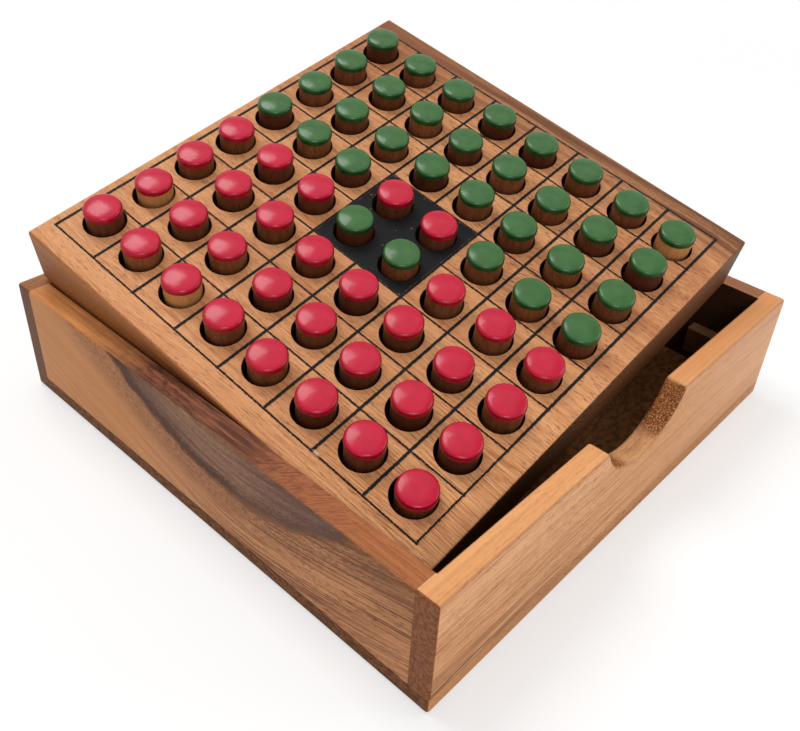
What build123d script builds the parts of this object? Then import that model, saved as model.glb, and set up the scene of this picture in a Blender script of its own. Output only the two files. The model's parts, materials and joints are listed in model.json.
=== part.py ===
from build123d import *
import math
import os
import random

os.makedirs("parts", exist_ok=True)

# Case: an open square box of five boards, glued with butt joints
bottom_thickness = 5.5
wall_height = 34.0
wall_thickness = 6.8
edge_round = 1.0
board_play_x = 4.1
board_play_y = 4.9

# Finger notch in the top edge of the front wall
notch_radius = 21.5
notch_depth = 13.5
notch_offset = 0.5
notch_shoulder_round = 2.0
notch_rim_round = 0.8

# Corner cleats on the side walls, the level seat of the closed game board
cleat_thickness = 4.5
cleat_height = 9.5
cleat_length = 18.3
cleat_top = 20.5
cleat_round = 0.5

# Game board, drawn with eight by eight squares
squares = 8
square_width = 17.9
square_depth = 18.2
margin_left = 7.5
margin_right = 6.6
margin_front = 7.5
margin_back = 3.4
board_thickness = 20.5
board_edge_round = 0.8

# Black lines and the black middle field, painted on the board's face. The lines between rows are the wider ones
row_line_width = 0.95
column_line_width = 0.6
paint_thickness = 0.1
field_squares = 2

# Peg holes, drilled a little askew from the drawn squares
hole_pitch_error_x = -0.5
hole_pitch_error_y = 0.1
hole_shift_x = -0.8
hole_shift_y = -0.2
hole_drift = 0.36
hole_scatter = 0.5
hole_depth = 13.0
hole_depth_scatter = 0.6
near_corner_extra_depth = 2.0
hole_play = 0.85

# Pegs: dowels with domed ends, each end dipped in paint
peg_length = 20.0
peg_radius = 5.55
peg_dome_radius = 20.0
peg_corner = 1.0
coat_thickness = 0.2
dip_depth = 2.5
peg_lean = 1.2
peg_lean_scatter = 0.7
peg_seat_gap = 0.05

# How the open game board leans: its near corner stands on the floor of the box
near_gap_left = 8.2
near_gap_front = 12.3
rest_gap = 0.2

# Values that follow from the sizes above
grid_width = squares * square_width
grid_depth = squares * square_depth
board_width = margin_left + grid_width + margin_right
board_depth = margin_front + grid_depth + margin_back
inner_x = (board_width + board_play_x) / 2
inner_y = (board_depth + board_play_y) / 2
outer_x = inner_x + wall_thickness
outer_y = inner_y + wall_thickness
box_height = bottom_thickness + wall_height
hole_pitch_x = square_width + hole_pitch_error_x
hole_pitch_y = square_depth + hole_pitch_error_y
hole_radius = peg_radius + coat_thickness + hole_play
middle = (squares - 1) / 2


def write(name, shape):
    """Saves one sub-part under its node's name."""
    shape.label = name
    export_step(shape, f"parts/{name}.step")


def block(x_low, x_high, y_low, y_high, z_low, z_high):
    """A box given by its lowest and highest corners."""
    size = (x_high - x_low, y_high - y_low, z_high - z_low)
    return Pos(x_low, y_low, z_low) * Box(*size, align=(Align.MIN, Align.MIN, Align.MIN))


def case_envelope():
    """The outside of the closed case, with every outer arris softly rounded."""
    return fillet(block(-outer_x, outer_x, -outer_y, outer_y, 0, box_height).edges(), edge_round)


def front_wall_blank():
    """The front board with the half-round notch, before its outer arrises are rounded."""
    board_face = Plane(origin=(0, -inner_y, bottom_thickness), x_dir=(1, 0, 0), z_dir=(0, -1, 0))
    outline = Pos(0, wall_height / 2) * Rectangle(2 * outer_x, wall_height)
    centre_height = wall_height - notch_depth + notch_radius
    outline -= Pos(notch_offset, centre_height) * Circle(notch_radius)
    half_opening = math.sqrt(notch_radius**2 - (notch_radius - notch_depth) ** 2)
    shoulders = [
        corner
        for corner in outline.vertices()
        if abs(abs(corner.X - notch_offset) - half_opening) < 0.01 and corner.Y > wall_height - 0.01
    ]
    outline = fillet(shoulders, notch_shoulder_round)
    return extrude(board_face * outline, wall_thickness)


def front_wall():
    """The front board with its notch. Its outer arrises are rounded. The notch's inner rim and the top edge
    between the side walls are eased, and the ends stay square where the side walls butt against them."""
    wall = front_wall_blank()
    outer = [
        edge
        for edge in wall.edges()
        if abs(edge.center().Y + outer_y) < 0.01 and edge.center().Z > bottom_thickness + 0.01
    ]
    ends = [
        edge
        for edge in wall.edges().filter_by(Axis.Y)
        if abs(abs(edge.center().X) - outer_x) < 0.01 and edge.center().Z > bottom_thickness + 0.01
    ]
    wall = fillet(outer + ends, edge_round)
    between = block(-inner_x, inner_x, -outer_y - 1, -inner_y + 1, bottom_thickness - 1, box_height + 1)
    open_part = wall & between
    inner = [
        edge
        for edge in open_part.edges()
        if edge.geom_type == GeomType.CIRCLE
        and abs(edge.center().Y + inner_y) < 0.01
        and abs(edge.radius - notch_radius) < 0.01
    ]
    return (wall - between) + fillet(inner, notch_rim_round)


def cleat(side, end):
    """One cleat, against the left or right wall (side) and the front or back wall (end)."""
    x_low, x_high = sorted((side * (inner_x - cleat_thickness), side * inner_x))
    y_low, y_high = sorted((end * (inner_y - cleat_length), end * inner_y))
    body = block(x_low, x_high, y_low, y_high, cleat_top - cleat_height, cleat_top)
    free_edges = [
        edge
        for edge in body.edges().filter_by(Axis.Y)
        if abs(edge.center().X - side * (inner_x - cleat_thickness)) < 0.01
    ]
    return fillet(free_edges, cleat_round)


def board_placement():
    """The pose of the open board. Its near bottom corner stands on the floor of the box, and its
    underside leans on the right wall's inner top edge and on the box's inner top corner at the back left."""
    near = Vector(near_gap_left - inner_x, near_gap_front - inner_y, bottom_thickness + rest_gap)
    right_edge = Vector(inner_x, near.Y, box_height + rest_gap) - near
    pitch = math.atan2(right_edge.Z, right_edge.X)
    back_corner = Vector(-inner_x, inner_y, box_height + rest_gap) - near
    rise = math.cos(pitch) * back_corner.Z - math.sin(pitch) * back_corner.X
    roll = math.atan2(rise, back_corner.Y)
    along = Vector(math.cos(pitch), 0, math.sin(pitch))
    normal = Vector(
        -math.cos(roll) * math.sin(pitch),
        -math.sin(roll),
        math.cos(roll) * math.cos(pitch),
    )
    return Plane(origin=near, x_dir=along, z_dir=normal).location


def hole_centres():
    """Centre and depth of each drilled hole in the board's own frame, by row from the back and column."""
    scatter = random.Random(64)
    holes = {}
    for row in range(squares):
        for column in range(squares):
            along = column - middle
            across = middle - row
            x = margin_left + grid_width / 2 + hole_shift_x + along * hole_pitch_x + across * hole_drift
            y = margin_front + grid_depth / 2 + hole_shift_y + across * hole_pitch_y
            x += scatter.uniform(-hole_scatter, hole_scatter)
            y += scatter.uniform(-hole_scatter, hole_scatter)
            depth = hole_depth + scatter.uniform(-hole_depth_scatter, hole_depth_scatter)
            if (row, column) == (squares - 1, 0):
                depth += near_corner_extra_depth
            holes[row, column] = (x, y, depth)
    return holes


def line_bars():
    """The outline of each painted line, as its lowest and highest x and y."""
    half_x = column_line_width / 2
    half_y = row_line_width / 2
    bars = []
    for step in range(squares + 1):
        x = margin_left + step * square_width
        y = margin_front + step * square_depth
        bars.append((x - half_x, x + half_x, margin_front - half_y, margin_front + grid_depth + half_y))
        bars.append((margin_left - half_x, margin_left + grid_width + half_x, y - half_y, y + half_y))
    return bars


def field_square():
    """The outline of the painted middle field, which fills the space between the lines round it."""
    half_x = (field_squares * square_width - column_line_width) / 2
    half_y = (field_squares * square_depth - row_line_width) / 2
    x = margin_left + grid_width / 2
    y = margin_front + grid_depth / 2
    return (x - half_x, x + half_x, y - half_y, y + half_y)


def coat(area):
    """Paint over one rectangle of the board's face."""
    return block(*area, board_thickness, board_thickness + paint_thickness)


def dowel(cover):
    """A peg's wood turned about Z, covered all over to the given thickness. Its ends are spherical domes,
    and the rounded corner runs smoothly from the dome into the side."""
    radius = peg_radius + cover
    half_length = peg_length / 2 - coat_thickness + cover
    corner = peg_corner + cover
    dome = peg_dome_radius + cover
    dome_centre = half_length - dome
    corner_x = radius - corner
    corner_z = dome_centre + math.sqrt((dome - corner) ** 2 - corner_x**2)
    tilt = math.asin(corner_x / (dome - corner))
    bend = (math.pi / 2 - tilt) / 2
    dome_middle = (dome * math.sin(tilt / 2), dome_centre + dome * math.cos(tilt / 2))
    dome_end = (dome * math.sin(tilt), dome_centre + dome * math.cos(tilt))
    corner_middle = (corner_x + corner * math.cos(bend), corner_z + corner * math.sin(bend))
    upper = Edge.make_three_point_arc((0, half_length), dome_middle, dome_end)
    shoulder = Edge.make_three_point_arc(dome_end, corner_middle, (radius, corner_z))
    side = Edge.make_line((radius, corner_z), (radius, 0))
    middle_cut = Edge.make_line((radius, 0), (0, 0))
    core = Edge.make_line((0, 0), (0, half_length))
    outline = Plane.XZ * make_face([upper, shoulder, side, middle_cut, core])
    upper_half = revolve(outline, axis=Axis.Z)
    return upper_half + mirror(upper_half, about=Plane.XY)


def peg_pieces():
    """One peg on its own centre: the bare dowel and the coats of paint on its upper and lower end."""
    half = peg_length / 2
    wood = dowel(0)
    reach = peg_radius + 1
    upper_zone = block(-reach, reach, -reach, reach, half - dip_depth, half + 1)
    upper_coat = (dowel(coat_thickness) & upper_zone) - wood
    return wood, upper_coat, mirror(upper_coat, about=Plane.XY)


def peg_places(holes):
    """Where each peg stands: on its hole's bottom, leaning a little to the front right."""
    scatter = random.Random(32)
    places = {}
    for spot, (x, y, depth) in holes.items():
        lean_x = peg_lean + scatter.uniform(-peg_lean_scatter, peg_lean_scatter)
        lean_y = peg_lean + scatter.uniform(-peg_lean_scatter, peg_lean_scatter)
        turn = scatter.uniform(0, 360)
        foot = Pos(x, y, board_thickness - depth + peg_seat_gap)
        places[spot] = foot * Rot(lean_y, lean_x, 0) * Pos(0, 0, peg_length / 2) * Rot(0, 0, turn)
    return places


def is_start(row, column):
    """The four middle pegs, which open the game."""
    return row in (3, 4) and column in (3, 4)


def red_is_up(row, column):
    """The left half stands red end up and the right half green, but the four middle pegs are swapped."""
    return (column < squares / 2) != is_start(row, column)


envelope = case_envelope()

# The case
write("bottom_plate", block(-outer_x, outer_x, -outer_y, outer_y, 0, bottom_thickness) & envelope)
write("front_wall", front_wall())
back_blank = block(-outer_x, outer_x, inner_y, outer_y, bottom_thickness, box_height)
write("back_wall", back_blank & envelope)
left_blank = block(-outer_x, -inner_x, -inner_y, inner_y, bottom_thickness, box_height)
write("left_wall", left_blank & envelope)
right_blank = block(inner_x, outer_x, -inner_y, inner_y, bottom_thickness, box_height)
write("right_wall", right_blank & envelope)
for end_name, end in (("front", -1), ("back", 1)):
    for side_name, side in (("left", -1), ("right", 1)):
        write(f"{end_name}_{side_name}_cleat", cleat(side, end))

# The game board with its holes, lines and painted field
placement = board_placement()
holes = hole_centres()
drills = [
    Pos(x, y, board_thickness - depth)
    * Cylinder(hole_radius, depth + 1, align=(Align.CENTER, Align.CENTER, Align.MIN))
    for x, y, depth in holes.values()
]
slab = fillet(block(0, board_width, 0, board_depth, 0, board_thickness).edges(), board_edge_round)
write("game_board", placement * (slab - drills))
field = coat(field_square())
lines = [coat(bar) for bar in line_bars()]
write("grid_lines", placement * (lines[0].fuse(*lines[1:]) - field - drills))
write("centre_field", placement * (field - drills))

# The pegs: the four that open the game stand alone, and the others share a node by column
wood, upper_coat, lower_coat = peg_pieces()
places = peg_places(holes)
groups = {f"column_{column + 1}": [] for column in range(squares)}
for row, column in places:
    if is_start(row, column):
        number = (row - 3) * 2 + (column - 3) + 1
        groups[f"start_{number}"] = [(row, column)]
    else:
        groups[f"column_{column + 1}"].append((row, column))
for name, spots in groups.items():
    up, down = ("red", "green") if red_is_up(*spots[0]) else ("green", "red")
    for suffix, shape in (("wood", wood), (f"{up}_ends_up", upper_coat), (f"{down}_ends_down", lower_coat)):
        solids = [placement * places[spot] * shape for spot in spots]
        write(f"pegs_{name}_{suffix}", solids[0] if len(solids) == 1 else Compound(solids))
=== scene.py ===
import json
import math
import random

import bmesh
import bpy
import numpy as np
from mathutils import Matrix, Vector

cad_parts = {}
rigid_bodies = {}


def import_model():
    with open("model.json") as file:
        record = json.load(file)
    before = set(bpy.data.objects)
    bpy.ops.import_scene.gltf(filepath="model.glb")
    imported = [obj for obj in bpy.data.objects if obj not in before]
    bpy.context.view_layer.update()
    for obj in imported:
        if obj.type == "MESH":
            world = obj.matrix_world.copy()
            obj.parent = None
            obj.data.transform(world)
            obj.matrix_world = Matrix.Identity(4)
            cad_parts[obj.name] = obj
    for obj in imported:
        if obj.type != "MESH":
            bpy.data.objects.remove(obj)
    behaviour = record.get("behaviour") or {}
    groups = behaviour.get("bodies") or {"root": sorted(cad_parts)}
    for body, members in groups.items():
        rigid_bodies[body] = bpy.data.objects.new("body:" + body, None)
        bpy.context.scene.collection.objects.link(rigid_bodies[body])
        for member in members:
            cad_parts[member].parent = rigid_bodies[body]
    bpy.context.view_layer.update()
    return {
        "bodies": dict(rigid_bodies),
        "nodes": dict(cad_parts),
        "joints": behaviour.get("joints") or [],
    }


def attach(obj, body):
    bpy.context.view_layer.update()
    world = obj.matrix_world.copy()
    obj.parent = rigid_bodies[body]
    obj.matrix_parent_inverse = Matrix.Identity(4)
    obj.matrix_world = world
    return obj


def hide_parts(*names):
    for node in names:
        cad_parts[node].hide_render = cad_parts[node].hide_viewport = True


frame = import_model()
nodes = frame["nodes"]

MM = 0.001
X_AXIS, Y_AXIS, Z_AXIS = (1, 0, 0), (0, 1, 0), (0, 0, 1)
CASE_AXES = (X_AXIS, Y_AXIS, Z_AXIS)

# Depth of the relief of wood and of paint in metres
wood_relief = 0.08 * MM
paint_relief = 0.09 * MM

# Sizes of the case in millimetres, from the middle of its underside
outer_half = 87.5
inner_half = 80.7
box_height = 39.5
plate_top = 5.5

# The game board's own frame: its origin is the near lower corner, x runs along the front edge and z out of
# its face. Its sizes are in millimetres.
board_near = (-72.5, -68.4, 5.7)
peg_axis = next(joint["axis"] for joint in frame["joints"] if joint["name"] == "pegs_column_1_lift")
board_normal = Vector(peg_axis).normalized()
board_x = Vector((board_normal.z, 0, -board_normal.x)).normalized()
board_y = board_normal.cross(board_x)
BOARD_AXES = (tuple(board_x), tuple(board_y), tuple(board_normal))
board_top = 20.5
grid_left, grid_front = 7.5, 7.5
square_width, square_depth = 17.9, 18.2
squares = 8
holes_half = 72.0
row_line_half, column_line_half = 0.475, 0.3
hole_pitch_x, hole_pitch_y = 17.4, 18.3
hole_first_x, hole_first_y = 17.4, 16.05


def colour(red, green, blue):
    """A colour written as on a screen, from 0 to 255, as the renderer's linear colour."""
    parts = [(value / 255) ** 2.2 for value in (red, green, blue)]
    return (*parts, 1.0)


class Tree:
    """One material's node tree, with short names for the nodes used here."""

    def __init__(self, name):
        self.material = bpy.data.materials.new(name)
        self.material.use_nodes = True
        self.tree = self.material.node_tree
        self.tree.nodes.clear()
        self.output = self.node("ShaderNodeOutputMaterial")
        self.shader = self.node("ShaderNodeBsdfPrincipled")
        self.tree.links.new(self.shader.outputs[0], self.output.inputs[0])

    def node(self, kind, **settings):
        made = self.tree.nodes.new(kind)
        for key, value in settings.items():
            setattr(made, key, value)
        return made

    def feed(self, socket, value):
        """Links another node's output to the socket, or writes the value into it."""
        if isinstance(value, bpy.types.NodeSocket):
            self.tree.links.new(value, socket)
        else:
            socket.default_value = value

    def math(self, operation, first, second=0.0):
        made = self.node("ShaderNodeMath", operation=operation)
        for socket, value in zip(made.inputs, (first, second)):
            self.feed(socket, value)
        return made.outputs[0]

    def add(self, first, second):
        return self.math("ADD", first, second)

    def subtract(self, first, second):
        return self.math("SUBTRACT", first, second)

    def times(self, first, second):
        return self.math("MULTIPLY", first, second)

    def ramp(self, value, low, high, smooth=True):
        """0 below low, 1 above high, and soft in between. low may be the larger one."""
        made = self.node("ShaderNodeMapRange", clamp=True)
        made.interpolation_type = "SMOOTHSTEP" if smooth else "LINEAR"
        for key, entry in (("Value", value), ("From Min", low), ("From Max", high)):
            self.feed(made.inputs[key], entry)
        return made.outputs[0]

    def spread(self, value, low, high):
        """Takes 0..1 to low..high."""
        made = self.node("ShaderNodeMapRange", clamp=False)
        for key, entry in (("Value", value), ("To Min", low), ("To Max", high)):
            self.feed(made.inputs[key], entry)
        return made.outputs[0]

    def vector(self, x, y, z):
        made = self.node("ShaderNodeCombineXYZ")
        for socket, value in zip(made.inputs, (x, y, z)):
            self.feed(socket, value)
        return made.outputs[0]

    def noise(self, vector, detail=2.0, roughness=0.5, distortion=0.0):
        made = self.node("ShaderNodeTexNoise")
        made.noise_dimensions = "3D"
        for key, value in (("Vector", vector), ("Scale", 1.0), ("Detail", detail),
                           ("Roughness", roughness), ("Distortion", distortion)):
            self.feed(made.inputs[key], value)
        return made.outputs["Fac"]

    def stretched(self, a, c, d, seed, along, across, detail=2.0, roughness=0.5):
        """Noise drawn out along the grain, with so many changes a millimetre along it, and so many across."""
        run = self.add(self.times(a, along), seed)
        place = self.vector(run, self.times(c, across), self.times(d, across))
        return self.noise(place, detail, roughness)

    def cloud(self, parts, scales, detail=2.0, roughness=0.5, distortion=0.0):
        """Noise at a point, with so many changes a millimetre along each of its three parts."""
        place = self.vector(*[self.times(part, scale) for part, scale in zip(parts, scales)])
        return self.noise(place, detail, roughness, distortion)

    def distance(self, first, second):
        """How far a point is from the origin, by its two coordinates."""
        return self.math("SQRT", self.add(self.times(first, first), self.times(second, second)))

    def mix(self, factor, first, second):
        made = self.node("ShaderNodeMix", data_type="RGBA", blend_type="MIX")
        self.feed(made.inputs["Factor"], factor)
        self.feed(made.inputs["A"], first)
        self.feed(made.inputs["B"], second)
        return made.outputs["Result"]

    def local(self, origin=(0, 0, 0), axes=CASE_AXES):
        """The point's coordinates in millimetres in a frame of its own, as three sockets."""
        place = self.node("ShaderNodeTexCoord").outputs["Object"]
        scaled = self.node("ShaderNodeVectorMath", operation="SCALE")
        self.feed(scaled.inputs[0], place)
        scaled.inputs["Scale"].default_value = 1 / MM
        moved = self.node("ShaderNodeVectorMath", operation="SUBTRACT")
        self.feed(moved.inputs[0], scaled.outputs[0])
        moved.inputs[1].default_value = origin
        return [self.along(moved.outputs[0], axis) for axis in axes]

    def along(self, vector, axis):
        made = self.node("ShaderNodeVectorMath", operation="DOT_PRODUCT")
        self.feed(made.inputs[0], vector)
        made.inputs[1].default_value = axis
        return made.outputs["Value"]

    def facing(self, axis):
        """How far the surface faces along or against an axis, from 0 to 1."""
        normal = self.node("ShaderNodeTexCoord").outputs["Normal"]
        return self.math("ABSOLUTE", self.along(normal, axis))

    def bump(self, height, distance):
        """Gives the surface a relief of so many metres."""
        made = self.node("ShaderNodeBump")
        made.inputs["Strength"].default_value = 1.0
        made.inputs["Distance"].default_value = distance
        self.feed(made.inputs["Height"], height)
        self.feed(self.shader.inputs["Normal"], made.outputs[0])

    def lift(self, share):
        """Shows the camera a share of the surface as plain white, so that a pale floor looks white round its
        shadow."""
        path = self.node("ShaderNodeLightPath")
        white = self.node("ShaderNodeEmission")
        blend = self.node("ShaderNodeMixShader")
        self.feed(blend.inputs[0], self.times(path.outputs["Is Camera Ray"], share))
        self.feed(blend.inputs[1], self.shader.outputs[0])
        self.feed(blend.inputs[2], white.outputs[0])
        self.feed(self.output.inputs[0], blend.outputs[0])


class Palette:
    """The colours of one piece of wood."""

    def __init__(self, light, middle, dark, pore, end, end_light):
        self.light, self.middle, self.dark, self.pore = light, middle, dark, pore
        self.end, self.end_light = end, end_light


def grain(tree, a, c, d, seed, palette, end_axis, pores=0.4, streaks=0.4, broad=0.5, lines=0.3, line_run=0.02,
          line_pitch=1.5, end_from=0.55, end_to=0.75):
    """Wood colour, height and marks at a point: a runs along the grain and c and d across it, all in
    millimetres."""
    c = tree.add(c, tree.spread(tree.stretched(a, c, d, seed, 0.011, 0.03), -5.0, 5.0))
    big = tree.stretched(a, c, d, seed * 3.1, 0.009, 0.06)
    ring = tree.stretched(a, c, d, seed * 1.7, 0.006, 0.42, 3.0, 0.6)
    line = tree.stretched(a, c, d, seed * 2.9, line_run, line_pitch, 2.0, 0.55)
    fibre = tree.stretched(a, c, d, seed, 0.12, 4.2, 2.0, 0.6)
    dash = tree.stretched(a, c, d, seed * 1.3, 0.42, 4.6, 1.0, 0.4)
    where = tree.stretched(a, c, d, seed * 2.3, 0.02, 0.16, 1.0)
    speck = tree.stretched(a, c, d, seed * 4.1, 0.3, 2.8, 2.0, 0.7)
    tone = tree.ramp(tree.add(tree.times(big, broad), tree.times(ring, 1 - broad)), 0.36, 0.64)
    shade = tree.mix(tone, palette.light, palette.middle)
    shade = tree.mix(tree.times(tree.ramp(ring, 0.5, 0.72), streaks), shade, palette.dark)
    line_mark = tree.times(tree.ramp(line, 0.5, 0.66), lines)
    shade = tree.mix(line_mark, shade, palette.dark)
    shade = tree.mix(tree.spread(tree.ramp(fibre, 0.3, 0.7), 0.0, 0.34), shade, palette.dark)
    end = tree.ramp(tree.facing(end_axis), end_from, end_to)
    shade = tree.mix(end, shade, tree.mix(tree.ramp(speck, 0.47, 0.63), palette.end, palette.end_light))
    pore = tree.ramp(tree.subtract(dash, tree.spread(where, 0.68, 0.55)), 0.0, 0.07)
    shade = tree.mix(tree.times(pore, pores), shade, palette.pore)
    dents = tree.add(tree.times(pore, 0.5), tree.times(line_mark, 0.3))
    height = tree.subtract(tree.times(fibre, 0.35), dents)
    return shade, height, {"ring": ring, "line": line, "pore": pore, "end": end}


def arris(tree, axes):
    """1 on rounded edges, where the surface faces none of the axes squarely."""
    squarely = tree.facing(axes[0])
    for axis in axes[1:]:
        squarely = tree.math("MAXIMUM", squarely, tree.facing(axis))
    return tree.ramp(squarely, 0.985, 0.86)


def worn_edges(tree, shade, end, dark):
    """Darkens the rounded edges of a straight board, but not its end grain."""
    edges = tree.times(arris(tree, CASE_AXES), tree.ramp(end, 1.0, 0.0))
    return tree.mix(tree.times(edges, 0.35), shade, dark)


def finish_wood(tree, shade, height, roughness=0.55, specular=0.14):
    tree.feed(tree.shader.inputs["Base Color"], shade)
    tree.shader.inputs["Roughness"].default_value = roughness
    tree.shader.inputs["Specular IOR Level"].default_value = specular
    tree.bump(height, wood_relief)
    return tree.material


def put(material, *names):
    """Gives CAD nodes one material in all their slots."""
    for name in names:
        mesh = nodes[name].data
        mesh.materials.clear()
        mesh.materials.append(material)


# Woods of the case
# Painted shade for the walls' inner faces inside the case
inside_shade_colour = colour(42, 25, 16)
front_palette = Palette(colour(226, 170, 124), colour(206, 150, 105), colour(150, 96, 60),
                        colour(104, 64, 40), colour(96, 54, 28), colour(188, 124, 70))
back_palette = Palette(colour(170, 114, 76), colour(146, 96, 64), colour(104, 66, 44), colour(76, 48, 32),
                       colour(92, 60, 44), colour(118, 80, 58))
side_palette = Palette(colour(204, 146, 102), colour(184, 127, 86), colour(132, 82, 52), colour(86, 50, 32),
                       colour(96, 58, 38), colour(140, 90, 58))
right_palette = Palette(colour(172, 119, 83), colour(150, 100, 68), colour(110, 69, 47), colour(78, 48, 32),
                        colour(92, 58, 40), colour(130, 86, 58))
plate_palette = Palette(colour(204, 147, 98), colour(181, 126, 81), colour(124, 79, 49), colour(84, 52, 32),
                        colour(84, 48, 23), colour(114, 68, 33))
cleat_palette = Palette(colour(166, 120, 80), colour(148, 105, 70), colour(122, 82, 54), colour(96, 62, 40),
                        colour(130, 88, 58), colour(170, 122, 82))
board_palette = Palette(colour(224, 162, 112), colour(199, 135, 91), colour(136, 80, 48), colour(88, 48, 30),
                        colour(58, 34, 22), colour(110, 70, 44))


def paint_inner_face_shade(tree, value, low, high, axis, shade, depth=0.92):
    """Darkens the inner face of a wall with painted shade, between two places along one axis."""
    flat = tree.ramp(tree.facing(axis), 0.7, 0.9)
    return tree.mix(tree.times(tree.times(tree.ramp(value, low, high), flat), depth), shade, inside_shade_colour)


def front_wall_wood():
    """The front wall: tan, with thin dark lines low on its left half, pinker on the right, and an orange
    top."""
    tree = Tree("front_wall_wood")
    x, y, z = tree.local()
    left = tree.ramp(x, 16.0, -34.0)
    lines = tree.spread(tree.times(left, tree.ramp(z, 36.0, 22.0)), 0.2, 0.75)
    pores = tree.spread(left, 0.3, 0.55)
    shade, height, parts = grain(tree, x, z, y, 1.3, front_palette, X_AXIS, pores=pores, streaks=0.35,
                                 broad=0.6, lines=lines, line_run=0.035, line_pitch=1.2, end_from=0.2,
                                 end_to=0.5)
    rise = tree.add(z, tree.spread(tree.ramp(x, -90.0, 10.0), -1.0, 7.0))
    patch = tree.ramp(tree.stretched(x, z, y, 6.6, 0.02, 0.8), 0.4, 0.56)
    wedge = tree.times(tree.ramp(rise, 15.0, 7.0), patch)
    shade = tree.mix(tree.times(tree.times(wedge, left), 0.8), shade, colour(124, 78, 48))
    shade = tree.mix(tree.times(tree.ramp(x, 10.0, 70.0), 0.35), shade, colour(210, 162, 130))
    near_top = tree.ramp(z, box_height - 1.5, box_height - 0.5)
    up = tree.times(tree.ramp(tree.facing(Z_AXIS), 0.7, 0.97), near_top)
    run = tree.ramp(tree.stretched(x, y, z, 3.3, 0.012, 1.1), 0.32, 0.7)
    stripe = tree.mix(run, colour(228, 164, 108), colour(212, 142, 86))
    stripe = tree.mix(tree.times(tree.ramp(x, 10.0, 40.0), 0.6), stripe, colour(200, 128, 72))
    shade = tree.mix(tree.times(up, 0.75), shade, stripe)
    far_out = tree.ramp(tree.math("ABSOLUTE", x), outer_half - 3.5, outer_half - 1.5)
    outer_end = tree.times(parts["end"], far_out)
    mottle = tree.ramp(tree.cloud((x, y, z), (0.8, 0.8, 0.8), 3.0, 0.7), 0.4, 0.6)
    mottled = tree.mix(mottle, colour(102, 61, 37), colour(138, 87, 54))
    shade = tree.mix(tree.times(outer_end, 0.9), shade, mottled)
    shade = worn_edges(tree, shade, parts["end"], front_palette.dark)
    # Painted shade on the wall's inner face
    shade = paint_inner_face_shade(tree, y, -inner_half - 0.5, -inner_half - 0.1, Y_AXIS, shade)
    return finish_wood(tree, shade, height)


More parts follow.
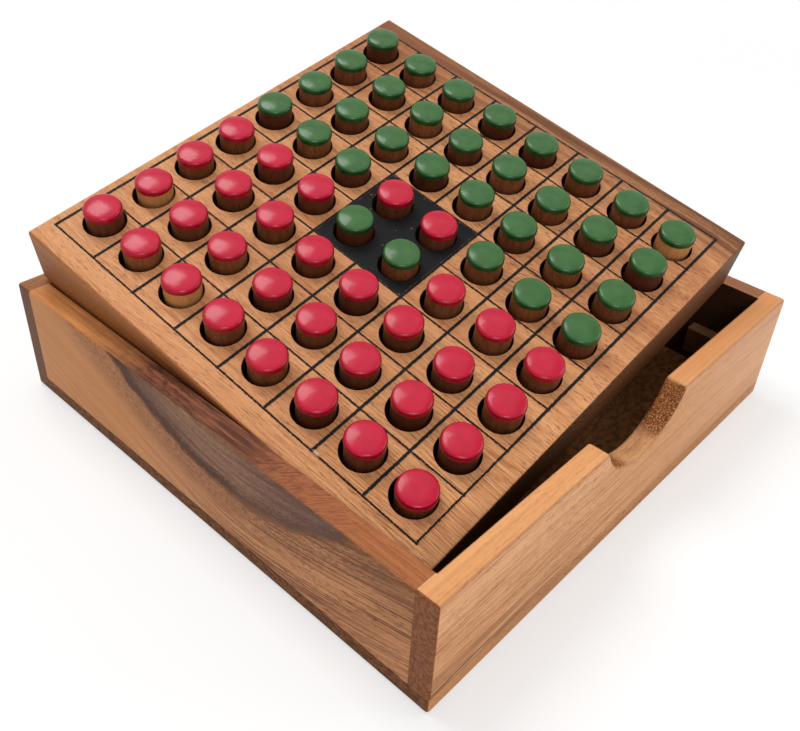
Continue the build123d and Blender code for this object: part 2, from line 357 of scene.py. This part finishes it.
def left_wall_wood():
    """The left wall: pale sapwood under a dark lens of heartwood that hangs from its top edge."""
    tree = Tree("left_wall_wood")
    x, y, z = tree.local()
    lens_middle, lens_bottom, band_bottom = -17.0, 22.9, 14.0
    hang_bend, hang_slope = 28.0, 0.32
    off = tree.subtract(y, lens_middle)
    square = tree.times(off, off)
    behind = tree.ramp(off, -4.0, 4.0)
    core_edge = tree.add(tree.times(square, tree.spread(behind, 0.0084, 0.0058)), lens_bottom)
    band_edge = tree.add(tree.times(square, tree.spread(behind, 0.0066, 0.0038)), band_bottom)
    hang = tree.times(tree.math("SQRT", tree.add(square, hang_bend**2)), hang_slope)
    c = tree.subtract(z, hang)
    front = tree.ramp(y, 12.0, -30.0)
    lines = tree.spread(front, 0.15, 0.8)
    pores = tree.spread(front, 0.3, 0.85)
    shade, height, parts = grain(tree, y, c, x, 4.2, side_palette, Y_AXIS, pores=pores, streaks=0.3,
                                 broad=0.6, lines=lines, line_run=0.022, line_pitch=1.2)
    shade = tree.mix(tree.times(tree.ramp(y, 5.0, 40.0), 0.5), shade, colour(194, 130, 78))
    wobble = tree.cloud((y, z, x), (0.08, 0.16, 0.16), 4.0, 0.6)
    speckle = tree.cloud((y, c, x), (0.7, 2.1, 2.1), 3.0, 0.7)
    ticks = tree.ramp(speckle, 0.47, 0.58)
    below = tree.add(tree.subtract(core_edge, z), tree.spread(wobble, -3.5, 3.5))
    rag = tree.add(below, tree.spread(speckle, -4.5, 4.5))
    width = tree.subtract(core_edge, band_edge)
    share = tree.math("DIVIDE", tree.add(below, tree.spread(speckle, -4.0, 4.0)), width)
    band = tree.times(tree.ramp(share, 1.35, 0.6), tree.spread(ticks, 0.4, 1.0))
    heart = tree.ramp(rag, 1.2, -2.4)
    rim = tree.times(tree.ramp(rag, 2.0, 0.2), tree.ramp(rag, -5.5, -1.5))
    flow = tree.stretched(y, c, x, 8.8, 0.03, 0.5, 3.0, 0.6)
    core = tree.mix(tree.ramp(flow, 0.36, 0.62), colour(144, 106, 82), colour(106, 76, 62))
    core = tree.mix(tree.times(tree.ramp(y, -18.0, -46.0), 0.6), core, colour(88, 68, 64))
    pale = tree.times(tree.ramp(y, -32.0, -12.0), tree.ramp(below, -4.0, -8.0))
    core = tree.mix(tree.times(pale, 0.35), core, colour(160, 120, 92))
    core = tree.mix(tree.times(tree.ramp(y, 0.0, 26.0), 0.7), core, colour(88, 62, 55))
    core = tree.mix(tree.times(tree.ramp(parts["line"], 0.44, 0.6), 0.45), core, colour(84, 58, 46))
    core = tree.mix(tree.times(ticks, 0.35), core, colour(70, 48, 40))
    streak = tree.ramp(tree.stretched(y, c, x, 5.5, 0.024, 1.3), 0.55, 0.61)
    streak = tree.times(tree.times(streak, front), tree.ramp(share, 3.4, 1.8))
    shade = tree.mix(tree.times(streak, 0.75), shade, colour(92, 55, 34))
    high = tree.ramp(tree.add(z, tree.spread(wobble, -6.0, 6.0)), 22.0, 35.0)
    corner = tree.times(tree.ramp(y, -50.0, -74.0), high)
    shade = tree.mix(tree.times(corner, 0.5), shade, colour(112, 70, 46))
    shade = tree.mix(tree.times(band, 0.8), shade, colour(111, 69, 43))
    shade = tree.mix(tree.times(heart, 0.9), shade, core)
    shade = tree.mix(tree.times(rim, tree.spread(behind, 0.5, 0.95)), shade, colour(70, 43, 31))
    run = tree.ramp(tree.stretched(y, x, z, 9.7, 0.035, 0.9, 3.0, 0.6), 0.36, 0.64)
    curl_run = tree.add(tree.times(y, 0.8), tree.times(x, 0.7))
    curl_place = tree.vector(curl_run, tree.times(tree.subtract(y, x), 0.1), 4.0)
    curl = tree.ramp(tree.noise(curl_place, 2.0, 0.5, 2.4), 0.38, 0.64)
    curl_zone = tree.times(tree.ramp(y, -66.0, -52.0), tree.ramp(y, -18.0, -34.0))
    gold = tree.mix(run, colour(220, 149, 89), colour(185, 121, 71))
    near_gold = tree.mix(run, colour(172, 106, 66), colour(144, 85, 51))
    gold = tree.mix(tree.ramp(y, 0.0, -40.0), gold, near_gold)
    red = tree.mix(run, colour(138, 82, 58), colour(92, 54, 40))
    red = tree.mix(tree.times(tree.ramp(parts["line"], 0.45, 0.6), 0.7), red, colour(66, 38, 28))
    drift = tree.add(y, tree.spread(wobble, -14.0, 14.0))
    reddish = tree.times(tree.ramp(drift, -56.0, -26.0), tree.ramp(drift, 60.0, 18.0))
    top = tree.mix(reddish, gold, red)
    curled = tree.mix(curl, colour(166, 102, 66), colour(124, 70, 46))
    top = tree.mix(tree.times(curl_zone, 0.7), top, curled)
    top_ticks = tree.times(tree.ramp(speckle, 0.6, 0.68), tree.ramp(y, -30.0, -60.0))
    top = tree.mix(tree.times(top_ticks, 0.6), top, colour(104, 58, 34))
    near_top = tree.ramp(z, box_height - 1.5, box_height - 0.5)
    up = tree.times(tree.ramp(tree.facing(Z_AXIS), 0.6, 0.95), near_top)
    shade = tree.mix(tree.times(up, 0.95), shade, top)
    # Painted shade on the wall's inner face
    shade = paint_inner_face_shade(tree, x, -inner_half - 0.5, -inner_half - 0.1, X_AXIS, shade)
    return finish_wood(tree, shade, height)


def straight_wood(name, grain_axis, seed, palette, inner=None, **looks):
    """Wood of one straight board of the case. inner is the place of its inner face along x or y, which gets
    painted shade.
    """
    tree = Tree(name)
    x, y, z = tree.local()
    a, c, d, axis = {"x": (x, z, y, X_AXIS), "y": (y, z, x, Y_AXIS)}[grain_axis]
    shade, height, parts = grain(tree, a, c, d, seed, palette, axis, **looks)
    shade = worn_edges(tree, shade, parts["end"], palette.dark)
    if inner:
        across, facing = {"x": (y, Y_AXIS), "y": (x, X_AXIS)}[grain_axis]
        # Painted shade on the board's inner face
        shade = paint_inner_face_shade(tree, across, inner + 0.5, inner + 0.1, facing, shade)
    return finish_wood(tree, shade, height)


def cleat_wood():
    """The cleats: their sides are painted darker than their top, as painted shade."""
    tree = Tree("cleat_wood")
    x, y, z = tree.local()
    shade, height = grain(tree, y, z, x, 12.4, cleat_palette, Y_AXIS, pores=0.4, streaks=0.3)[:2]
    # Painted shade on the cleats' sides
    shaded_sides = tree.ramp(tree.facing(Z_AXIS), 0.7, 0.3)
    shade = tree.mix(tree.times(shaded_sides, 0.75), shade, colour(84, 54, 34))
    return finish_wood(tree, shade, height)


def plate_wood():
    """The bottom plate: a plain dark edge outside, and inside the case a mottled floor painted darker as
    painted shade.
    """
    tree = Tree("plate_wood")
    x, y, z = tree.local()
    shade, height, parts = grain(tree, x, z, y, 9.1, plate_palette, X_AXIS, pores=0.5, streaks=0.4)
    mottle = tree.ramp(tree.cloud((x, y, z), (0.5, 0.5, 0.9), 4.0, 0.7), 0.4, 0.62)
    mottled = tree.mix(mottle, colour(76, 43, 20), colour(128, 82, 45))
    shade = tree.mix(tree.times(parts["end"], 0.75), shade, mottled)
    # Painted shade on the floor inside the case, with a mottled tone
    blotch = tree.cloud((x, y, 2.0), (0.3, 0.5, 1.0), 4.0, 0.7)
    floor_shade_mottle = tree.mix(tree.ramp(blotch, 0.4, 0.62), colour(160, 104, 56), colour(92, 58, 32))
    inside = tree.ramp(z, plate_top - 0.3, plate_top - 0.05)
    shade = tree.mix(tree.times(inside, 0.88), shade, floor_shade_mottle)
    return finish_wood(tree, shade, height)


put(front_wall_wood(), "front_wall")
put(left_wall_wood(), "left_wall")
right_wood = straight_wood("right_wall_wood", "y", 7.9, right_palette, inner_half, pores=0.45, streaks=0.45)
put(right_wood, "right_wall")
put(straight_wood("back_wall_wood", "x", 5.7, back_palette, pores=0.45, streaks=0.4), "back_wall")
put(plate_wood(), "bottom_plate")
put(cleat_wood(), "front_left_cleat", "front_right_cleat", "back_left_cleat", "back_right_cleat")

GRID_X = (grid_left, square_width)
GRID_Y = (grid_front, square_depth)


def board_local(tree):
    return tree.local(board_near, BOARD_AXES)


def off_centre(tree, value, first, pitch):
    """How far a point is from the middle of the drawn grid, along one of its two ways."""
    return tree.math("ABSOLUTE", tree.subtract(value, first + squares * pitch / 2))


def ink_mask(tree, x, y):
    """1 on the drawn lines, whose edges waver a little, and 0 beside them. The front line starts out thin."""
    waver = tree.spread(tree.cloud((x, y, 0.0), (1.1, 1.1, 1.0), 4.0, 0.7), -0.4, 0.4)
    thin = tree.times(tree.ramp(y, grid_front + 6.0, grid_front + 4.0), tree.ramp(x, 62.0, 30.0))
    row_half = tree.spread(thin, row_line_half, 0.32)
    gaps = []
    for value, (first, pitch), half in ((x, GRID_X, column_line_half), (y, GRID_Y, row_half)):
        shifted = tree.add(tree.subtract(value, first), pitch / 2)
        away = tree.math("ABSOLUTE", tree.subtract(tree.math("FLOORED_MODULO", shifted, pitch), pitch / 2))
        gaps.append(tree.subtract(away, half))
    near = tree.subtract(tree.math("MINIMUM", *gaps), waver)
    inside = 1.0
    for value, (first, pitch), half in ((x, GRID_X, column_line_half), (y, GRID_Y, row_line_half)):
        edge = squares * pitch / 2 + half
        inside = tree.times(tree.ramp(off_centre(tree, value, first, pitch), edge + 0.12, edge), inside)
    return tree.times(tree.ramp(near, 0.08, -0.08), inside)


def scuff(tree, x, y):
    """1 in the middle of the one place where the left line is rubbed off, and 0 around it."""
    off_x = tree.subtract(x, grid_left + 0.4)
    off_y = tree.times(tree.subtract(y, grid_front + 2 * square_depth - 1.4), 0.5)
    rough = tree.spread(tree.cloud((x, y, 8.0), (2.5, 1.2, 1.0), 3.0, 0.7), -0.8, 0.8)
    ragged = tree.add(tree.distance(off_x, off_y), rough)
    return tree.ramp(ragged, 0.75, 0.2)


def board_wood_shade(tree, x, y, z):
    """The slab's wood. Its face is tan: finely lined at the front left, darker at the right edge and the back
    right corner. Its front end is dark end grain, and its left side is painted dark as painted shade, with a
    golden upper edge."""
    front_left = tree.times(tree.ramp(x, 96.0, 30.0), tree.ramp(y, 80.0, 20.0))
    lines = tree.spread(front_left, 0.2, 0.52)
    ticks = tree.spread(tree.ramp(tree.subtract(x, tree.times(y, 0.5)), 20.0, 90.0), 0.5, 0.9)
    shade, height, parts = grain(tree, y, x, z, 21.3, board_palette, BOARD_AXES[1], pores=ticks, streaks=0.3,
                                 broad=0.5, lines=lines, line_run=0.09, line_pitch=2.1)
    flat = tree.ramp(parts["end"], 1.0, 0.0)
    # Lighter wood with a painted golden glint between the fine lines at the front left
    between = tree.times(tree.times(front_left, tree.ramp(parts["line"], 0.5, 0.34)), flat)
    shade = tree.mix(tree.times(between, 0.5), shade, colour(236, 174, 114))
    mottle = tree.cloud((x, y, z), (1.5, 1.5, 0.8), 3.0, 0.7)
    mottled = tree.mix(tree.ramp(mottle, 0.42, 0.6), colour(50, 30, 19), colour(118, 78, 50))
    shade = tree.mix(tree.times(parts["end"], 0.85), shade, mottled)
    front_right = tree.times(tree.ramp(x, 60.0, 125.0), tree.ramp(y, 60.0, 0.0))
    shade = tree.mix(tree.times(front_right, 0.3), shade, colour(156, 100, 66))
    bend = tree.spread(tree.cloud((y, x, 3.0), (0.012, 0.02, 1.0)), -7.0, 7.0)
    right = tree.ramp(tree.add(x, bend), 140.0, 152.0)
    stripes = tree.spread(tree.ramp(parts["ring"], 0.4, 0.6), 0.5, 0.95)
    shade = tree.mix(tree.times(right, stripes), shade, colour(98, 63, 45))
    back_right = tree.ramp(tree.add(tree.add(x, y), bend), 230.0, 300.0)
    shade = tree.mix(tree.times(back_right, 0.45), shade, colour(146, 92, 60))
    # Painted shade on the left side, over its flame figure, lighter towards its upper edge
    side = tree.times(tree.ramp(x, 0.9, 0.35), flat)
    curl_run = tree.add(tree.times(y, 0.34), tree.times(z, 0.2))
    curl = tree.cloud((curl_run, z, y), (1.0, 0.12, 0.02), 3.0, 0.55, 1.1)
    flame = tree.mix(tree.ramp(curl, 0.38, 0.62), colour(94, 45, 22), colour(56, 24, 11))
    deep = tree.mix(tree.ramp(parts["ring"], 0.36, 0.62), colour(124, 72, 37), colour(87, 46, 25))
    painted_side_shade = tree.mix(tree.ramp(y, 34.0, 66.0), flame, deep)
    painted_side_shade = tree.mix(tree.times(tree.ramp(y, 70.0, 130.0), 0.6), painted_side_shade, colour(158, 102, 58))
    upper = tree.times(tree.ramp(z, 15.0, 20.0), tree.spread(tree.ramp(y, 20.0, 60.0), 0.2, 0.45))
    painted_side_shade = tree.mix(upper, painted_side_shade, colour(176, 114, 68))
    painted_side_shade = tree.mix(tree.times(parts["pore"], 0.5), painted_side_shade, board_palette.pore)
    shade = tree.mix(side, shade, painted_side_shade)
    rubbed = tree.times(scuff(tree, x, y), tree.ramp(z, board_top - 0.5, board_top - 0.1))
    shade = tree.mix(tree.times(rubbed, 0.6), shade, colour(204, 178, 160))
    return shade, height


def board_wood():
    tree = Tree("board_wood")
    x, y, z = board_local(tree)
    shade, height = board_wood_shade(tree, x, y, z)
    face = tree.ramp(z, board_top - 0.3, board_top - 0.1)
    ink = tree.times(tree.times(ink_mask(tree, x, y), face), tree.subtract(1.0, scuff(tree, x, y)))
    shade = tree.mix(tree.times(ink, 0.96), shade, colour(24, 22, 24))
    # Painted shade down inside the holes
    span_x = tree.ramp(off_centre(tree, x, *GRID_X), holes_half + 2.0, holes_half)
    span_y = tree.ramp(off_centre(tree, y, *GRID_Y), holes_half + 2.0, holes_half)
    deep = tree.times(tree.times(span_x, span_y), tree.ramp(z, board_top - 0.2, board_top - 1.5))
    deep = tree.times(deep, tree.ramp(z, 2.0, 4.0))
    shade = tree.mix(tree.times(deep, 0.88), shade, colour(40, 24, 16))
    return finish_wood(tree, shade, height)


def ink(name, lines):
    """Matt black paint on the wood: thin where it has worn, and with the wavering edge of the lines."""
    tree = Tree(name)
    x, y, z = board_local(tree)
    shade, height = board_wood_shade(tree, x, y, z)
    rub = tree.cloud((x, y, 5.0), (0.45, 0.45, 1.0), 4.0, 0.7)
    grit = tree.cloud((x, y, 9.0), (3.5, 0.9, 1.0), 3.0, 0.7)
    black = tree.mix(tree.ramp(grit, 0.35, 0.75), colour(12, 12, 14), colour(30, 29, 32))
    cover = tree.ramp(rub, 0.72, 0.66)
    if lines:
        cover = tree.times(tree.times(cover, ink_mask(tree, x, y)), tree.subtract(1.0, scuff(tree, x, y)))
    shade = tree.mix(cover, shade, black)
    return finish_wood(tree, shade, tree.add(height, tree.times(grit, 0.5)), 0.65, 0.16)


put(board_wood(), "game_board")
put(ink("line_ink", True), "grid_lines")
put(ink("field_paint", False), "centre_field")


def peg_wood():
    """Dowel wood. Each peg has its own tone, and a few are pale."""
    tree = Tree("peg_wood")
    x, y, z = board_local(tree)
    ways = ((x, hole_first_x, hole_pitch_x), (y, hole_first_y, hole_pitch_y))
    column, row = [tree.math("FLOOR", tree.times(tree.subtract(value, first - pitch / 2), 1 / pitch))
                   for value, first, pitch in ways]
    chance = tree.node("ShaderNodeTexWhiteNoise")
    chance.noise_dimensions = "3D"
    tree.feed(chance.inputs["Vector"], tree.vector(column, row, 3.0))
    own = chance.outputs["Value"]
    pale = 0.0
    for pale_column, pale_row in ((7, 0), (1, 7), (0, 5)):
        gaps = [tree.math("ABSOLUTE", tree.subtract(value, wanted))
                for value, wanted in ((column, pale_column), (row, pale_row))]
        pale = tree.add(tree.math("LESS_THAN", tree.add(*gaps), 0.5), pale)
    shift = tree.times(own, 97.0)
    marks = []
    for across, along, detail, rough in ((0.45, 0.03, 3.0, 0.6), (3.4, 0.3, 3.0, 0.65), (3.2, 0.5, 1.0, 0.4)):
        shifted = tree.add(tree.times(x, across), shift)
        marks.append(tree.cloud((shifted, y, z), (1.0, across, along), detail, rough))
    ring, fibre, dash = marks
    base = tree.mix(tree.ramp(own, 0.1, 0.9, smooth=False), colour(76, 40, 28), colour(130, 81, 51))
    base = tree.mix(tree.times(pale, 0.9), base, colour(196, 140, 86))
    deep = tree.mix(0.5, base, colour(62, 32, 20))
    plain = tree.spread(pale, 1.0, 0.35)
    shade = tree.mix(tree.times(tree.times(tree.ramp(ring, 0.38, 0.64), plain), 0.75), base, deep)
    shade = tree.mix(tree.times(tree.ramp(fibre, 0.4, 0.7), 0.4), shade, deep)
    pore = tree.ramp(dash, 0.6, 0.66)
    shade = tree.mix(tree.times(tree.times(pore, plain), 0.55), shade, colour(46, 26, 16))
    # Painted shade at each peg's foot, where it goes into its hole
    foot_shade = tree.times(tree.ramp(z, board_top + 1.6, board_top - 2.0), 0.65)
    shade = tree.mix(foot_shade, shade, colour(56, 28, 16))
    height = tree.subtract(tree.times(fibre, 0.4), tree.times(pore, 0.6))
    return finish_wood(tree, shade, height, 0.5)


def paint(name, base, rim):
    """Thick glossy dipped paint, a little uneven, with painted shade down its side, and fine pits."""
    tree = Tree(name)
    x, y, z = board_local(tree)
    wave = tree.cloud((x, y, z), (0.3, 0.3, 0.3))
    speck = tree.cloud((x, y, z), (2.6, 2.6, 2.6), 2.0, 0.6)
    # Painted shade: the side of the dipped end is darker than its top
    down = tree.ramp(tree.facing(BOARD_AXES[2]), 0.97, 0.5)
    shade = tree.mix(tree.add(tree.times(tree.ramp(wave, 0.3, 0.7), 0.25), tree.times(down, 0.75)), base, rim)
    tree.feed(tree.shader.inputs["Base Color"], shade)
    tree.shader.inputs["Roughness"].default_value = 0.2
    tree.shader.inputs["Specular IOR Level"].default_value = 0.27
    tree.bump(tree.add(wave, tree.times(tree.ramp(speck, 0.66, 0.78), 0.25)), paint_relief)
    return tree.material


peg_material = peg_wood()
# Each paint's second colour is its painted shade down the side
paints = {
    "red": paint("red_paint", colour(188, 6, 52), colour(142, 1, 32)),
    "green": paint("green_paint", colour(56, 98, 48), colour(20, 60, 26)),
}


def islands(name):
    """The separate solids in a CAD node's mesh, each as an array of its points."""
    mesh = nodes[name].data
    made = bmesh.new()
    made.from_mesh(mesh)
    bmesh.ops.remove_doubles(made, verts=made.verts, dist=1e-6)
    made.verts.ensure_lookup_table()
    left = set(made.verts)
    groups = []
    while left:
        stack = [next(iter(left))]
        left.discard(stack[0])
        group = []
        while stack:
            vertex = stack.pop()
            group.append(tuple(vertex.co))
            for edge in vertex.link_edges:
                other = edge.other_vert(vertex)
                if other in left:
                    left.discard(other)
                    stack.append(other)
        groups.append(np.array(group))
    made.free()
    return groups


def centre(points):
    return Vector((points.min(0) + points.max(0)) / 2)


# A peg's sizes in millimetres. The wood under a dipped end is a dome with a rounded corner.
peg_half = 10.0
peg_radius = 5.55
coat = 0.2
dome_radius = 20.0
peg_corner = 1.0
dip_depth = 2.5
wood_gap = 0.01


def coat_profile(cover):
    """Points of the dome and its corner at a given cover over the wood, from the crown to the side. Each is a
    radius and a height over the peg's middle."""
    corner = peg_corner + cover
    dome = dome_radius + cover
    top = peg_half - coat + cover
    centre_z = top - dome
    corner_x = peg_radius - peg_corner
    corner_z = centre_z + math.sqrt((dome - corner) ** 2 - corner_x**2)
    tilt = math.asin(corner_x / (dome - corner))
    dome_steps, corner_steps = 5, 6
    points = []
    for k in range(dome_steps + 1):
        lean = tilt * k / dome_steps
        points.append((dome * math.sin(lean), centre_z + dome * math.cos(lean)))
    for k in range(1, corner_steps + 1):
        turn = (math.pi / 2 - tilt) * (1 - k / corner_steps)
        points.append((corner_x + corner * math.cos(turn), corner_z + corner * math.sin(turn)))
    return points


def dipped_end(mesh, place, scatter):
    """Adds one dipped end to a bmesh: a closed film over the dowel's end whose lower rim is uneven."""
    around = 64
    lean = scatter.uniform(0.05, 0.32)
    lean_turn = scatter.uniform(0, math.tau)
    waves = [(n, scatter.uniform(0.2, 1.0) * 0.16 / n, scatter.uniform(0, math.tau))
             for n in (2, 3, 4, 5, 7, 9)]
    drop_reach = scatter.uniform(0.0, 0.45)
    drop_turn = scatter.uniform(0, math.tau)
    drop_width = scatter.uniform(0.25, 0.5)
    outer = coat_profile(coat)
    inner = coat_profile(wood_gap)
    rows = [[point] * around for point in outer]
    rim = []
    for step in range(around):
        turn = math.tau * step / around
        reach = lean * math.cos(turn - lean_turn)
        reach += sum(size * math.cos(n * turn + phase) for n, size, phase in waves)
        away = (turn - drop_turn + math.pi) % math.tau - math.pi
        reach += drop_reach * math.exp(-((away / drop_width) ** 2))
        rim.append(peg_half - dip_depth - reach)
    side_radius = peg_radius + coat
    start = outer[-1][1]
    for share, swell in ((0.35, 0.0), (0.7, 0.03), (0.88, 0.05), (0.97, 0.0), (1.0, -0.12)):
        rows.append([(side_radius + swell, start + (low - start) * share) for low in rim])
    rows.append([(peg_radius + wood_gap, low) for low in rim])
    rows += [[point] * around for point in reversed(inner)]
    rings = []
    for row in rows:
        radius, height = row[0]
        if radius == 0:
            rings.append([mesh.verts.new(place @ Vector((0, 0, height * MM)))])
            continue
        ring = []
        for step, (radius, height) in enumerate(row):
            turn = math.tau * step / around
            point = Vector((radius * math.cos(turn) * MM, radius * math.sin(turn) * MM, height * MM))
            ring.append(mesh.verts.new(place @ point))
        rings.append(ring)
    for upper, lower in zip(rings, rings[1:]):
        for step in range(around):
            after = (step + 1) % around
            if len(upper) == 1:
                mesh.faces.new((upper[0], lower[step], lower[after]))
            elif len(lower) == 1:
                mesh.faces.new((upper[step], lower[0], upper[after]))
            else:
                mesh.faces.new((upper[step], lower[step], lower[after], upper[after]))


def piece(name, mesh, material, body, *cad_nodes):
    """Turns a bmesh into a smooth object that rides on a body and stands for its CAD nodes."""
    bmesh.ops.recalc_face_normals(mesh, faces=mesh.faces)
    data = bpy.data.meshes.new(name)
    mesh.to_mesh(data)
    mesh.free()
    for face in data.polygons:
        face.use_smooth = True
    data.materials.append(material)
    made = bpy.data.objects.new(name, data)
    bpy.context.scene.collection.objects.link(made)
    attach(made, body)
    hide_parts(*cad_nodes)
    return made


# Every peg gets its two dipped ends where the CAD coats are
for body in sorted(frame["bodies"]):
    if not body.startswith("pegs_"):
        continue
    put(peg_material, f"{body}_wood")
    own = [node for node in nodes if node.startswith(body + "_")]
    up_name = next(node for node in own if node.endswith("_ends_up"))
    down_name = next(node for node in own if node.endswith("_ends_down"))
    for name, other_name in ((up_name, down_name), (down_name, up_name)):
        scatter = random.Random(name)
        mesh = bmesh.new()
        near_centres = [centre(points) for points in islands(name)]
        far_centres = [centre(points) for points in islands(other_name)]
        for near in sorted(near_centres, key=lambda v: (round(v.x, 4), round(v.y, 4))):
            far = min(far_centres, key=lambda v: (v - near).length)
            axis = (near - far).normalized()
            middle = (near + far) / 2
            turn = axis.to_track_quat("Z", "Y").to_matrix().to_4x4()
            dipped_end(mesh, Matrix.Translation(middle) @ turn, scatter)
        tint = "red" if "_red_" in name else "green"
        dressed = piece(f"{name}_dipped", mesh, paints[tint], body, name)

# Floor
floor_mesh = bmesh.new()
bmesh.ops.create_grid(floor_mesh, x_segments=1, y_segments=1, size=3.0)
floor_data = bpy.data.meshes.new("floor")
floor_mesh.to_mesh(floor_data)
floor_mesh.free()
floor = bpy.data.objects.new("floor", floor_data)
bpy.context.scene.collection.objects.link(floor)
floor.location = (0, 0, -0.0002)
floor_tree = Tree("floor_paper")
floor_tree.shader.inputs["Base Color"].default_value = (0.93, 0.93, 0.93, 1)
floor_tree.shader.inputs["Roughness"].default_value = 0.9
floor_away = floor_tree.distance(*floor_tree.local()[:2])
floor_tree.lift(floor_tree.spread(floor_tree.ramp(floor_away, 180.0, 600.0), 0.5, 1.0))
floor_data.materials.append(floor_tree.material)

# World and lamps
world = bpy.data.worlds.new("studio")
bpy.context.scene.world = world
world.use_nodes = True
world_nodes = world.node_tree.nodes
world_links = world.node_tree.links
world_nodes.clear()
world_out = world_nodes.new("ShaderNodeOutputWorld")
light_path = world_nodes.new("ShaderNodeLightPath")
ambient = world_nodes.new("ShaderNodeBackground")
ambient.inputs[0].default_value = (1.0, 0.985, 0.97, 1)
ambient.inputs[1].default_value = 0.4
shown = world_nodes.new("ShaderNodeBackground")
shown.inputs[0].default_value = (1, 1, 1, 1)
shown.inputs[1].default_value = 1.0
choose = world_nodes.new("ShaderNodeMixShader")
seen = light_path.outputs["Is Camera Ray"]
for kind in ("Is Glossy Ray", "Is Transmission Ray"):
    either = world_nodes.new("ShaderNodeMath")
    either.operation = "MAXIMUM"
    world_links.new(seen, either.inputs[0])
    world_links.new(light_path.outputs[kind], either.inputs[1])
    seen = either.outputs[0]
world_links.new(seen, choose.inputs[0])
world_links.new(ambient.outputs[0], choose.inputs[1])
world_links.new(shown.outputs[0], choose.inputs[2])
world_links.new(choose.outputs[0], world_out.inputs[0])


def lamp(name, place, aim, size, power):
    data = bpy.data.lights.new(name, "AREA")
    data.shape = "SQUARE"
    data.size = size
    data.energy = power
    made = bpy.data.objects.new(name, data)
    bpy.context.scene.collection.objects.link(made)
    made.location = place
    made.rotation_euler = (Vector(aim) - Vector(place)).to_track_quat("-Z", "Y").to_euler()


lamp_aim = (0, 0, 0.05)
lamp("overhead", (0.15, 0.1, 1.2), lamp_aim, 1.1, 3)
lamp("back", (-0.06, 0.52, 1.12), lamp_aim, 0.55, 6.6)
lamp("front_left", (-0.8, -1.0, 0.9), lamp_aim, 0.62, 6.9)
lamp("front_right", (1.0, -1.0, 0.5), lamp_aim, 0.8, 4.6)

# Camera, fitted to the photograph
focal_px, centre_x_px, centre_y_px = 918.003, 415.304, 333.066
image_width, image_height = 800, 731
camera_data = bpy.data.cameras.new("camera")
camera_data.sensor_fit = "HORIZONTAL"
camera_data.sensor_width = 36.0
camera_data.lens = focal_px * camera_data.sensor_width / image_width
camera_data.shift_x = (image_width / 2 - centre_x_px) / image_width
camera_data.shift_y = (centre_y_px - image_height / 2) / image_width
camera_data.clip_start = 0.01
camera = bpy.data.objects.new("camera", camera_data)
bpy.context.scene.collection.objects.link(camera)
forward = Vector((0.62386, 0.52429, -0.57958)).normalized()
right = Vector((0.67202, -0.73846, 0.05537)).normalized()
up = right.cross(forward).normalized()
right = forward.cross(up)
camera_place = Vector((-188.95, -161.06, 199.57)) * MM
camera_turn = Matrix((right, up, -forward)).transposed().to_4x4()
camera.matrix_world = Matrix.Translation(camera_place) @ camera_turn
bpy.context.scene.camera = camera
bpy.context.scene.view_settings.view_transform = "Standard"
